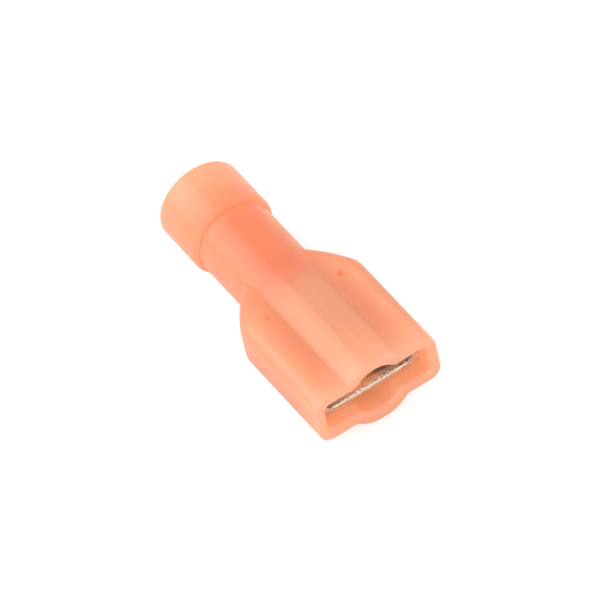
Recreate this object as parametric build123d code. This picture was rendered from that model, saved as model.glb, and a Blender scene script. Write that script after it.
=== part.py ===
# Fully insulated female spade terminal: a folded sheet terminal in a moulded nylon housing.
# The wire enters at the -X end, the tab enters at the +X end, and the part lies on its bell at Z = 0.
import os
from math import atan, atan2, degrees, hypot, pi, sin, sqrt, tan

from build123d import *

# Tab that the terminal takes.
tab_width = 6.35
tab_thickness = 0.8

# Folded sheet terminal.
sheet = 0.4
tab_side_clearance = 0.055
roll_headroom = 0.2
grip_squeeze = 0.18
lip_gap = 1.7
receptacle_length = 6.75
lead_in_depth = 1.0
lead_in_width = 1.1
coin_depth = 0.2
coin_run = 0.5
edge_break = 0.08
detent_diameter = 1.7
detent_height = 0.25
detent_setback = 3.5
neck_width = 4.2
neck_length = 1.85
wire_bore = 1.9
crimp_length = 4.9
seam_gap = 0.08
entry_bevel = 0.25

# Moulded housing.
wall = 0.7
ridge_wall = 0.85
sleeve_wall = 1.2
bell_wall = 0.8
insulation_bore = 4.2
bell_length = 4.1
bell_bore_depth = 3.9
funnel_length = 1.2
stop_length = 0.35
shoulder_length = 2.4
shoulder_lead = 0.5
shoulder_bow = 0.2
ridge_taper_length = 0.6
crest_draft = 0.05
mouth_recess = 1.2
dimple_diameter = 0.34
dimple_depth = 0.06
dimple_spacing = 5.45
dimple_setback = 7.9

# Clearances between the terminal and its seat in the housing.
seat_clearance = 0.05
side_clearance = 0.07
height_clearance = 0.2
stop_clearance = 0.05

# Rounded and bevelled edges of the housing.
wing_edge_radius = 0.85
shoulder_radius = 2.0
crease_radius = 0.35
slot_corner_radius = 0.4
slot_crease_radius = 0.5
bell_front_radius = 0.38
bell_back_radius = 0.2
bell_entry_bevel = 0.25
mouth_lip_radius = 0.4
mouth_rim_radius = 0.18

# Terminal sections.
roll_height = tab_thickness + roll_headroom + 2 * sheet
roll_radius = roll_height / 2
roll_inner_radius = roll_radius - sheet
receptacle_half_width = tab_width / 2 + tab_side_clearance + sheet
roll_centre = receptacle_half_width - roll_radius
base_bottom = -roll_radius
base_top = base_bottom + sheet
crimp_radius = wire_bore / 2
crimp_outer_radius = crimp_radius + sheet

# Places along the axis, counted from the housing's wire end.
stop_start = bell_bore_depth + funnel_length
seat_start = stop_start + stop_length
crimp_start = seat_start + stop_clearance
crimp_end = crimp_start + crimp_length
receptacle_start = crimp_end + neck_length
receptacle_end = receptacle_start + receptacle_length
overall_length = receptacle_end + mouth_recess
shoulder_end = receptacle_start - shoulder_lead

# Housing sections.
seat_radius = crimp_outer_radius + seat_clearance
throat_radius = crimp_radius + entry_bevel
sleeve_radius = seat_radius + sleeve_wall
bell_radius = insulation_bore / 2 + bell_wall
ridge_inner_radius = sleeve_radius - ridge_wall
slot_half_width = receptacle_half_width + side_clearance
slot_half_height = roll_radius + height_clearance
wing_half_width = slot_half_width + wall
wing_half_height = slot_half_height + wall
shoulder_angle = atan2(wing_half_width - sleeve_radius, shoulder_length)
slot_shoulder_end = shoulder_end + wall * tan(shoulder_angle / 2)

# Sections are drawn across the axis, with Y to the right and Z up. Turned shapes start at their lower end.
across = Plane.YZ
from_end = (Align.CENTER, Align.CENTER, Align.MIN)


def receptacle_section():
    """Flat base, two rolled sides, and lips that slope down to grip the tab."""
    lip_run = roll_centre - lip_gap / 2
    lip_drop = roll_headroom + grip_squeeze
    lip_turn = 2 * atan(lip_drop / lip_run)
    lip_inner_radius = lip_run / sin(lip_turn)
    lip_centre = (roll_centre, roll_inner_radius - lip_inner_radius)
    turn = degrees(lip_turn)
    outside = [
        Line((0, base_bottom), (roll_centre, base_bottom)),
        CenterArc((roll_centre, 0), roll_radius, -90, 180),
        CenterArc(lip_centre, lip_inner_radius + sheet, 90, turn),
    ]
    inside = [
        CenterArc(lip_centre, lip_inner_radius, 90 + turn, -turn),
        CenterArc((roll_centre, 0), roll_inner_radius, 90, -180),
        Line((roll_centre, base_top), (0, base_top)),
    ]
    lip_tip = Line(outside[-1] @ 1, inside[0] @ 0)
    middle = Line((0, base_top), (0, base_bottom))
    half = make_face(outside + [lip_tip] + inside + [middle])
    return half + mirror(half, about=Plane.YZ)


def receptacle():
    """The rolled receptacle: lips cut back and base coined thin at the front, and a detent for the tab."""
    body = extrude(across.offset(receptacle_start) * receptacle_section(), receptacle_length)
    lead_in = make_face(
        Polyline(
            (receptacle_end, lip_gap / 2 + lead_in_width),
            (receptacle_end - lead_in_depth, 0),
            (receptacle_end, -lip_gap / 2 - lead_in_width),
            close=True,
        )
    )
    body -= extrude(lead_in, roll_height)
    coined = make_face(
        Polyline(
            (receptacle_end - coin_run, base_top),
            (receptacle_end, base_top),
            (receptacle_end, base_top - coin_depth),
            (receptacle_end - edge_break, base_top - coin_depth + edge_break),
            close=True,
        )
    )
    body -= extrude(Plane.XZ * coined, roll_centre, both=True)
    detent_place = Pos(receptacle_end - detent_setback, 0, base_top)
    foot_radius = detent_diameter / 2
    bump = detent_place * Cone(foot_radius, foot_radius - detent_height, detent_height, align=from_end)
    return body + bump - Pos(0, 0, -sheet) * bump


def trough(place, bottom, mid_radius, half_angle):
    """Section of the sheet bent round the axis: an arc of the sheet's thickness, lowest at its middle."""
    outer_radius = mid_radius + sheet / 2
    centre = (0, bottom + outer_radius)
    turn = degrees(half_angle)
    outside = CenterArc(centre, outer_radius, 270 - turn, 2 * turn)
    inside = CenterArc(centre, outer_radius - sheet, 270 + turn, -2 * turn)
    ends = [Line(outside @ 1, inside @ 0), Line(inside @ 1, outside @ 0)]
    return across.offset(place) * Wire([outside, ends[0], inside, ends[1]])


def neck():
    """The base narrows and curls up into the lower half of the crimp barrel."""
    crimp_mid_radius = crimp_radius + sheet / 2
    half_strip = (pi / 2 * crimp_mid_radius + neck_width / 2) / 2
    halfway = (crimp_end + receptacle_start) / 2
    halfway_bottom = (base_bottom - crimp_outer_radius) / 2
    flat = Pos(0, base_bottom + sheet / 2) * Rectangle(neck_width, sheet)
    sections = [
        trough(crimp_end, -crimp_outer_radius, crimp_mid_radius, pi / 2),
        trough(halfway, halfway_bottom, half_strip / (pi / 4), pi / 4),
        (across.offset(receptacle_start) * flat).wire(),
    ]
    return Solid.make_loft(sections)


def crimp_barrel():
    """The rolled barrel, butted along a seam on top, with a bevelled wire entry."""
    seam = Rectangle(seam_gap, 2 * crimp_outer_radius, align=(Align.CENTER, Align.MIN))
    ring = Circle(crimp_outer_radius) - Circle(crimp_radius) - seam
    barrel = extrude(across.offset(crimp_start) * ring, crimp_length)
    bevel = Cone(crimp_radius + entry_bevel, crimp_radius, entry_bevel, align=from_end)
    return barrel - across.offset(crimp_start) * bevel


def plan(half_width, root, corner, corner_radius):
    """Plan of the wings or of their slot: straight sides, rounded corners, and shoulders that slant in."""
    back = corner - (half_width - root) / tan(shoulder_angle)
    right_shoulder = SagittaArc((back, -root), (corner, -half_width), -shoulder_bow)
    left_shoulder = SagittaArc((corner, half_width), (back, root), -shoulder_bow)
    front = Polyline(
        (corner, -half_width),
        (overall_length, -half_width),
        (overall_length, half_width),
        (corner, half_width),
    )
    outline = make_face([right_shoulder, front, left_shoulder, Line((back, root), (back, -root))])
    corners = outline.vertices().filter_by(lambda v: abs(v.X - corner) < 1e-6)
    return fillet(corners, corner_radius)


def round_bar(radius, length):
    """A bar along the axis from the wire end, with its seam line underneath."""
    return across * Rot(0, 0, -90) * Cylinder(radius, length, align=from_end)


def off_axis(edge):
    """Distance from the axis to the middle of an edge."""
    middle = edge.position_at(0.5)
    return hypot(middle.Y, middle.Z)


def dimples():
    """The two small round marks on the top of the wings."""
    place = overall_length - dimple_setback
    tip = Pos(place, dimple_spacing / 2, wing_half_height - dimple_depth)
    left = tip * Cone(0, dimple_diameter / 2, dimple_depth, align=from_end)
    return left + Pos(0, -dimple_spacing, 0) * left


def crest_cuts():
    """The ridge's mould draft: from the shoulders to the mouth its crest goes flat, above and below."""
    wedge = make_face(
        Polyline(
            (shoulder_end, sleeve_radius),
            (overall_length, sleeve_radius),
            (overall_length, sleeve_radius - crest_draft),
            close=True,
        )
    )
    above = extrude(Plane.XZ * wedge, sleeve_radius, both=True)
    return above + mirror(above, about=Plane.XY)


def housing_outside():
    """Bell, sleeve and ridge round about the axis, and the flat wings, blended where they meet."""
    hidden_root = sqrt(sleeve_radius**2 - wing_half_height**2) - crease_radius / 2
    outline = plan(wing_half_width, hidden_root, shoulder_end, shoulder_radius)
    wings = extrude(outline, wing_half_height, both=True)
    long_edges = wings.edges().filter_by(lambda e: abs(abs(e.center().Z) - wing_half_height) < 1e-6)
    wings = fillet(long_edges.filter_by(lambda e: abs(e.center().Y) > 1e-6), wing_edge_radius)
    body = round_bar(sleeve_radius, overall_length) + wings - crest_cuts()
    creases = body.edges().filter_by(lambda e: abs(off_axis(e) - sleeve_radius) < 1e-4)
    creases = creases.filter_by(lambda e: bell_length < e.center().X < overall_length - 1e-4)
    body = fillet(creases.filter_by(lambda e: abs(e.center().Y) > 1e-6), crease_radius)
    bell = round_bar(bell_radius, bell_length)
    bell = fillet(bell.edges().filter_by(GeomType.CIRCLE).sort_by(Axis.X)[-1], bell_front_radius)
    return body + bell - dimples()


def housing_inside():
    """The space that the core pins leave: bell bore, funnel, stop, crimp seat, ridge and slot."""
    outline = plan(slot_half_width, seat_radius / 2, slot_shoulder_end, shoulder_radius - wall)
    slot = extrude(outline, slot_half_height, both=True)
    slot = fillet(slot.edges().filter_by(Axis.X), slot_corner_radius)
    turned = make_face(
        Polyline(
            (0, 0),
            (0, insulation_bore / 2),
            (bell_bore_depth, insulation_bore / 2),
            (stop_start, throat_radius),
            (seat_start, throat_radius),
            (seat_start, seat_radius),
            (shoulder_end - ridge_taper_length, seat_radius),
            (shoulder_end, ridge_inner_radius),
            (overall_length, ridge_inner_radius),
            (overall_length, 0),
            close=True,
        )
    )
    space = revolve(turned, Axis.X) + slot
    creases = space.edges().filter_by(Axis.X)
    creases = creases.filter_by(lambda e: abs(off_axis(e) - ridge_inner_radius) < 1e-4)
    return fillet(creases.filter_by(lambda e: abs(e.center().Y) > 1e-6), slot_crease_radius)


def housing():
    """The moulded housing, with rounded rims at both ends and a bevelled wire entry."""
    body = housing_outside() - housing_inside()
    mouth_lip = body.faces().sort_by(Axis.X)[-1].inner_wires()[0].edges()
    body = fillet(mouth_lip, mouth_lip_radius)
    mouth_rim = body.faces().sort_by(Axis.X)[-1].outer_wire().edges()
    body = fillet(mouth_rim, mouth_rim_radius)
    wire_rims = body.edges().filter_by(GeomType.CIRCLE).group_by(Axis.X)[0].sort_by(SortBy.RADIUS)
    body = fillet(wire_rims[-1], bell_back_radius)
    entry = body.edges().filter_by(GeomType.CIRCLE).group_by(Axis.X)[0].sort_by(SortBy.RADIUS)
    return chamfer(entry[0], bell_entry_bevel)


pieces = {
    "insulator": housing(),
    "terminal": receptacle() + neck() + crimp_barrel(),
}

# The bell lies on the bench and the axis is level. The origin is under the middle of the part's length.
on_bench = Pos(-overall_length / 2, 0, bell_radius)

os.makedirs("parts", exist_ok=True)
for node, piece in pieces.items():
    export_step(on_bench * piece, f"parts/{node}.step")
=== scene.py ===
from math import cos, pi, radians, sin

import bpy
from mathutils import Matrix, Vector


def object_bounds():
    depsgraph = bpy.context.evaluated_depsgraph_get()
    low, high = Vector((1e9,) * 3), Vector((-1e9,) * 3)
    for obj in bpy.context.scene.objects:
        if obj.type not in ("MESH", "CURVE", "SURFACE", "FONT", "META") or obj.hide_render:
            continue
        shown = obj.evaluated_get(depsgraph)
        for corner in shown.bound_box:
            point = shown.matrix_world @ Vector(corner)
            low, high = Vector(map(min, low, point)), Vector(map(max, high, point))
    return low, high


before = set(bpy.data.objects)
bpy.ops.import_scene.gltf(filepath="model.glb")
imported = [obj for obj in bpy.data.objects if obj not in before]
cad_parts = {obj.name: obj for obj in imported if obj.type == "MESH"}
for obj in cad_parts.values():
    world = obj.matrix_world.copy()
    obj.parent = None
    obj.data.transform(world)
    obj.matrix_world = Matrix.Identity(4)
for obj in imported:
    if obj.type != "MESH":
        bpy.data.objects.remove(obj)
cad_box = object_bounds()

# Terminal: one strip of brass, blanked, folded and rolled in a press, then plated with tin.
# It slides into the housing from the mouth, and only its front edge and lips can be seen.
# Rolling leaves fine lines along the strip, the plating is cloudy and the cut front edge is rough.
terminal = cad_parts["terminal"]
mm = 0.001
strip_front = max(corner[0] for corner in terminal.bound_box)
rolling_stretch = (120, 5200, 5200)
rolling_detail = 3
rolling_strength = 0.6
rolling_depth = 0.02 * mm
plating_scale = 5600
plating_detail = 4
plating_depth = 0.14 * mm
plating_strength = 0.32
cut_strength = 1.0
cut_edge = (strip_front - 0.28 * mm, strip_front - 0.08 * mm)
dull_tin = (0.64, 0.54, 0.43, 1)
dull_below = 0.3
bright_tin = (0.80, 0.73, 0.63, 1)
bright_above = 0.65
smooth_tin = 0.36
rough_tin = 0.54


def set_step(finish, step, values):
    """Sets one step of a finish: each input gets a plain value, or what another step gives."""
    for socket, value in values.items():
        if isinstance(value, bpy.types.NodeSocket):
            finish.node_tree.links.new(value, step.inputs[socket])
        else:
            step.inputs[socket].default_value = value


def add_step(finish, kind, values):
    """Adds a step to a finish and sets its inputs."""
    step = finish.node_tree.nodes.new(kind)
    set_step(finish, step, values)
    return step


def stretched(finish, place, stretch):
    """Places on a surface, scaled by its own amount along each axis."""
    return add_step(finish, "ShaderNodeMapping", {"Vector": place, "Scale": stretch}).outputs["Vector"]


def clouds(finish, place, detail, scale=1, roughness=0.5):
    """Cloudy variation from 0 to 1 over a surface."""
    settings = {"Vector": place, "Scale": scale, "Detail": detail, "Roughness": roughness}
    return add_step(finish, "ShaderNodeTexNoise", settings).outputs["Fac"]


def tones(finish, value, low, low_colour, high, high_colour):
    """A colour that goes from one tone to another while a value goes from low to high."""
    ramp = add_step(finish, "ShaderNodeValToRGB", {"Fac": value})
    first, last = ramp.color_ramp.elements
    first.position = low
    first.color = low_colour
    last.position = high
    last.color = high_colour
    return ramp.outputs["Color"]


def spread(finish, value, low, high):
    """A value from 0 to 1, spread evenly between two others."""
    settings = {"Value": value, "To Min": low, "To Max": high}
    return add_step(finish, "ShaderNodeMapRange", settings).outputs["Result"]


def fade(finish, value, between, start, end):
    """Goes smoothly from start to end while a value passes between two limits."""
    limits = {"From Min": between[0], "From Max": between[1], "To Min": start, "To Max": end}
    step = add_step(finish, "ShaderNodeMapRange", {"Value": value, **limits})
    step.interpolation_type = "SMOOTHSTEP"
    return step.outputs["Result"]


def relief(finish, height, strength, depth, under=None):
    """Fine bumps that follow a height, laid over other bumps where those are given."""
    bump = add_step(finish, "ShaderNodeBump", {"Height": height, "Strength": strength, "Distance": depth})
    if under is not None:
        set_step(finish, bump, {"Normal": under})
    return bump.outputs["Normal"]


tinned = bpy.data.materials.new("tinned_brass")
tinned.use_nodes = True
on_strip = add_step(tinned, "ShaderNodeTexCoord", {}).outputs["Object"]
along_strip = add_step(tinned, "ShaderNodeSeparateXYZ", {"Vector": on_strip}).outputs["X"]
rolling_lines = clouds(tinned, stretched(tinned, on_strip, rolling_stretch), rolling_detail)
plating_clouds = clouds(tinned, on_strip, plating_detail, scale=plating_scale)
rolled = relief(tinned, rolling_lines, rolling_strength, rolling_depth)
rougher_at_cut = fade(tinned, along_strip, cut_edge, plating_strength, cut_strength)
set_step(
    tinned,
    tinned.node_tree.nodes["Principled BSDF"],
    {
        "Metallic": 1.0,
        "Base Color": tones(tinned, plating_clouds, dull_below, dull_tin, bright_above, bright_tin),
        "Roughness": spread(tinned, rolling_lines, smooth_tin, rough_tin),
        "Normal": relief(tinned, plating_clouds, rougher_at_cut, plating_depth, rolled),
    },
)
terminal.data.materials.clear()
terminal.data.materials.append(tinned)

# Housing: moulded in one shot from salmon-coloured nylon that lets some light through.
# The melt flows from the wire end to the mouth and leaves faint streaks that way.
# The mould is lightly textured, so the skin is satin and not a mirror.
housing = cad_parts["insulator"]
wire_end = cad_box[0][0]
mouth = cad_box[1][0]
axis_height = cad_box[1][2] / 2
flow_stretch = (45, 620, 620)
flow_detail = 4
flow_roughness = 0.55
deep_streak = (0.93, 0.46, 0.27, 1)
deep_below = 0.3
pale_streak = (0.93, 0.56, 0.35, 1)
pale_above = 0.7


def worked_out(finish, operation, *numbers):
    """One step of arithmetic on the values of a finish."""
    step = add_step(finish, "ShaderNodeMath", dict(enumerate(numbers)))
    step.operation = operation
    return step.outputs["Value"]


def toned(finish, colour, other, share):
    """A colour with a share of another one."""
    mix = add_step(finish, "ShaderNodeMixRGB", {"Fac": share, "Color1": colour, "Color2": other})
    return mix.outputs["Color"]


nylon = bpy.data.materials.new("salmon_nylon")
nylon.use_nodes = True
on_housing = add_step(nylon, "ShaderNodeTexCoord", {}).outputs["Object"]
melt_flow = stretched(nylon, on_housing, flow_stretch)
flow_streaks = clouds(nylon, melt_flow, flow_detail, roughness=flow_roughness)
streaky = tones(nylon, flow_streaks, deep_below, deep_streak, pale_above, pale_streak)
along, across, height = add_step(nylon, "ShaderNodeSeparateXYZ", {"Vector": on_housing}).outputs
off_middle = worked_out(nylon, "ABSOLUTE", across)
off_axis = worked_out(nylon, "ABSOLUTE", worked_out(nylon, "SUBTRACT", height, axis_height))

# Over the crimp barrel the wall lies close on the metal, and painted shade makes the colour darker there,
# most on the crown, for the metal that shows dark through the wall.
barrel_back = (wire_end + 0.9 * mm, wire_end + 5.5 * mm)
barrel_front = (wire_end + 9.6 * mm, wire_end + 12.9 * mm)
barrel_crown = (1.4 * mm, 2.6 * mm)
barrel_share = 0.95
flank_share = 0.2
barrel_starts = fade(nylon, along, barrel_back, 0, 1)
barrel_stops = fade(nylon, along, barrel_front, barrel_share, 0)
along_barrel = worked_out(nylon, "MULTIPLY", barrel_starts, barrel_stops)
on_crown = fade(nylon, off_axis, barrel_crown, flank_share, 1)
barrel_shade = worked_out(nylon, "MULTIPLY", along_barrel, on_crown)

# The same painted shade lies as a soft band on each wing, where the receptacle's rolled side comes near
# the wall and shows dark through it.
roll_place = 2.45 * mm
roll_band = (0.2 * mm, 0.8 * mm)
roll_back = (mouth - 8.9 * mm, mouth - 7.1 * mm)
roll_front = (mouth - 3.3 * mm, mouth - 1.3 * mm)
roll_share = 0.28
off_roll = worked_out(nylon, "ABSOLUTE", worked_out(nylon, "SUBTRACT", off_middle, roll_place))
on_roll = fade(nylon, off_roll, roll_band, roll_share, 0)
roll_starts = fade(nylon, along, roll_back, 0, 1)
roll_stops = fade(nylon, along, roll_front, 1, 0)
along_roll = worked_out(nylon, "MULTIPLY", roll_starts, roll_stops)
roll_shade = worked_out(nylon, "MULTIPLY", on_roll, along_roll)

# The two ejector marks on the wings' top get a little of the same colour too, as painted shade in their
# hollows.
mark_setback = 7.9 * mm
mark_spacing = 5.45 * mm
wing_thickness = 3.6 * mm
mark_edge = (0.08 * mm, 0.42 * mm)
shade_salmon = (0.92, 0.24, 0.12, 1)
mark_place = (mouth - mark_setback, mark_spacing / 2, axis_height + wing_thickness / 2)
wing_place = {"X": along, "Y": off_middle, "Z": height}
both_wings = add_step(nylon, "ShaderNodeCombineXYZ", wing_place).outputs["Vector"]
off_mark = add_step(nylon, "ShaderNodeVectorMath", {0: both_wings, 1: mark_place})
off_mark.operation = "DISTANCE"
mark_shade = fade(nylon, off_mark.outputs["Value"], mark_edge, 1, 0)
shade_over_metal = worked_out(nylon, "MAXIMUM", barrel_shade, roll_shade)
# Painted shade: a share of dark salmon over the barrel, along the rolls and in the ejector marks.
with_painted_shade = toned(nylon, streaky, shade_salmon, worked_out(nylon, "MAXIMUM", shade_over_metal, mark_shade))

# The bell's back end and the mouth have only air behind their walls, and painted light makes them lighter
# there, as if light shone through.
open_end = (wire_end + 0.1 * mm, wire_end + 3.1 * mm)
open_mouth = (mouth - 1.9 * mm, mouth - 0.1 * mm)
end_share = 0.45
mouth_share = 0.7
painted_glow_salmon = (0.92, 0.55, 0.43, 1)
end_glow = fade(nylon, along, open_end, end_share, 0)
mouth_glow = fade(nylon, along, open_mouth, 0, mouth_share)
# Painted light: a share of pale salmon at both open ends.
with_painted_glow = toned(nylon, with_painted_shade, painted_glow_salmon, worked_out(nylon, "MAXIMUM", end_glow, mouth_glow))

# The skin has the mould's fine grain, on slight waves where the nylon shrank as it cooled.
grain_scale = 5200
grain_detail = 2
grain_strength = 0.12
grain_depth = 0.02 * mm
wave_scale = 520
wave_detail = 2
wave_strength = 0.5
wave_depth = 0.1 * mm
smooth_skin = 0.3
rough_skin = 0.42
mould_grain = clouds(nylon, on_housing, grain_detail, scale=grain_scale)
sink_waves = clouds(nylon, on_housing, wave_detail, scale=wave_scale)
grained = relief(nylon, mould_grain, grain_strength, grain_depth)
nylon_skin = nylon.node_tree.nodes["Principled BSDF"]
set_step(
    nylon,
    nylon_skin,
    {
        "Base Color": with_painted_glow,
        "Roughness": spread(nylon, mould_grain, smooth_skin, rough_skin),
        "Normal": relief(nylon, sink_waves, wave_strength, wave_depth, grained),
        "IOR": 1.53,
        "Specular IOR Level": 0.6,
        "Coat Weight": 1.0,
        "Coat Roughness": 0.2,
        "Coat IOR": 1.45,
        "Subsurface Weight": 1.0,
        "Subsurface Radius": (1.0, 0.7, 0.55),
        "Subsurface Scale": 0.6 * mm,
    },
)


def blended(finish, share, first, second):
    """Two looks in one, with the given share of the second."""
    return add_step(finish, "ShaderNodeMixShader", {"Fac": share, 1: first, 2: second}).outputs["Shader"]


# More than half of the light goes on through the wall, so the inside of the mouth glows.
share_through = 0.57
glow_salmon = (1.0, 0.65, 0.44, 1)
light_through = add_step(nylon, "ShaderNodeBsdfTranslucent", {"Color": glow_salmon}).outputs["BSDF"]
nylon_look = blended(nylon, share_through, nylon_skin.outputs["BSDF"], light_through)
set_step(nylon, nylon.node_tree.nodes["Material Output"], {"Surface": nylon_look})
housing.data.materials.clear()
housing.data.materials.append(nylon)

# Bench: a plain white round table top under the part, matt, with the part's own soft shadow on it.
# Seen by the camera or in a reflection it is lifted to white, and the shadow stays.
bench_radius = 0.3
bench_corners = 96
table_white = (0.78, 0.78, 0.78, 1)
shadow_grey = (0.42, 0.42, 0.42, 1)
lift_to_white = 0.66

corner_angles = [2 * pi * i / bench_corners for i in range(bench_corners)]
bench_mesh = bpy.data.meshes.new("bench")
bench_mesh.from_pydata(
    [(bench_radius * cos(angle), bench_radius * sin(angle), 0) for angle in corner_angles],
    [],
    [tuple(range(bench_corners))],
)
bench = bpy.data.objects.new("bench", bench_mesh)
bpy.context.scene.collection.objects.link(bench)


def seen_directly(finish):
    """One where a camera, glossy or transmission ray meets the surface, and zero elsewhere."""
    rays = add_step(finish, "ShaderNodeLightPath", {}).outputs
    mirrored = worked_out(finish, "MAXIMUM", rays["Is Glossy Ray"], rays["Is Transmission Ray"])
    return worked_out(finish, "MAXIMUM", rays["Is Camera Ray"], mirrored)


bench_paint = bpy.data.materials.new("bench_white")
bench_paint.use_nodes = True
bench_paint.node_tree.nodes.remove(bench_paint.node_tree.nodes["Principled BSDF"])
matt_white = add_step(bench_paint, "ShaderNodeBsdfDiffuse", {"Color": table_white}).outputs["BSDF"]
shadowed = add_step(bench_paint, "ShaderNodeBsdfDiffuse", {"Color": shadow_grey}).outputs["BSDF"]
lifted = add_step(bench_paint, "ShaderNodeEmission", {"Strength": lift_to_white}).outputs["Emission"]
seen_white = add_step(bench_paint, "ShaderNodeAddShader", {0: shadowed, 1: lifted}).outputs["Shader"]
bench_look = blended(bench_paint, seen_directly(bench_paint), matt_white, seen_white)
set_step(bench_paint, bench_paint.node_tree.nodes["Material Output"], {"Surface": bench_look})
bench_mesh.materials.append(bench_paint)

# Studio: white walls all round, which the camera and reflections see as white and which give a soft fill.
# A large softbox stands on the -Y side, behind the wire end, and a smaller one in front of the mouth.
# A weaker one on the +Y side keeps that flank from going dull.
wall_white = (1, 1, 1, 1)
fill_strength = 0.67
wall_strength = 1.0
room = bpy.data.worlds.new("studio")
bpy.context.scene.world = room
room.use_nodes = True
fill = room.node_tree.nodes["Background"]
set_step(room, fill, {"Color": wall_white, "Strength": fill_strength})
walls = add_step(room, "ShaderNodeBackground", {"Color": wall_white, "Strength": wall_strength})
room_look = blended(room, seen_directly(room), fill.outputs["Background"], walls.outputs["Background"])
set_step(room, room.node_tree.nodes["World Output"], {"Surface": room_look})


def softbox(name, place, faces, length, width, power):
    """A rectangular lamp whose long side is parallel to X and which faces the given point."""
    lamp = bpy.data.lights.new(name, "AREA")
    lamp.shape = "RECTANGLE"
    lamp.size = length
    lamp.size_y = width
    lamp.energy = power
    holder = bpy.data.objects.new(name, lamp)
    bpy.context.scene.collection.objects.link(holder)
    back = (Vector(place) - Vector(faces)).normalized()
    side = (Vector((1, 0, 0)) - back * back.x).normalized()
    turn = Matrix((side, back.cross(side), back)).transposed()
    holder.matrix_world = Matrix.Translation(place) @ turn.to_4x4()


under_part = (0, 0, 0)
behind_bell = (-0.28, 0, 0)
softbox("side_softbox", (-0.28, -0.234, 0.26), behind_bell, length=0.42, width=0.44, power=1.22)
softbox("mouth_softbox", (0.40, -0.26, 0.34), under_part, length=0.3, width=0.3, power=1.27)
softbox("far_softbox", (0.05, 0.36, 0.24), under_part, length=0.4, width=0.3, power=0.55)

# Camera: a long lens that looks down on the mouth from in front and to one side, tipped a little.
# Its distance and scale make the part fill the frame as in the photograph.
scale_px_per_mm = 16.417
distance = 0.833
image_width_px = 600
sensor_width_mm = 36.0
nearest_seen = 0.01
farthest_seen = 10
camera_azimuth = radians(66.34)
camera_elevation = radians(48.60)
camera_tip = radians(-12.93)
part_middle = Vector((0, 0, axis_height))
shift_right = 0.711 * mm
shift_up = -0.373 * mm

toward = Vector(
    (
        sin(camera_azimuth) * cos(camera_elevation),
        -cos(camera_azimuth) * cos(camera_elevation),
        sin(camera_elevation),
    )
)
level_right = Vector((0, 0, 1)).cross(toward).normalized()
level_up = toward.cross(level_right)
image_right = level_right * cos(camera_tip) + level_up * sin(camera_tip)
image_up = toward.cross(image_right)
lens = bpy.data.cameras.new("camera")
lens.sensor_width = sensor_width_mm
lens.lens = scale_px_per_mm * (distance / mm) / image_width_px * sensor_width_mm
lens.clip_start = nearest_seen
lens.clip_end = farthest_seen
camera = bpy.data.objects.new("camera", lens)
bpy.context.scene.collection.objects.link(camera)
turned = Matrix((image_right, image_up, toward)).transposed()
camera_place = part_middle + toward * distance + image_right * shift_right + image_up * shift_up
camera.matrix_world = Matrix.Translation(camera_place) @ turned.to_4x4()
bpy.context.scene.camera = camera

bpy.context.scene.view_settings.view_transform = "Standard"
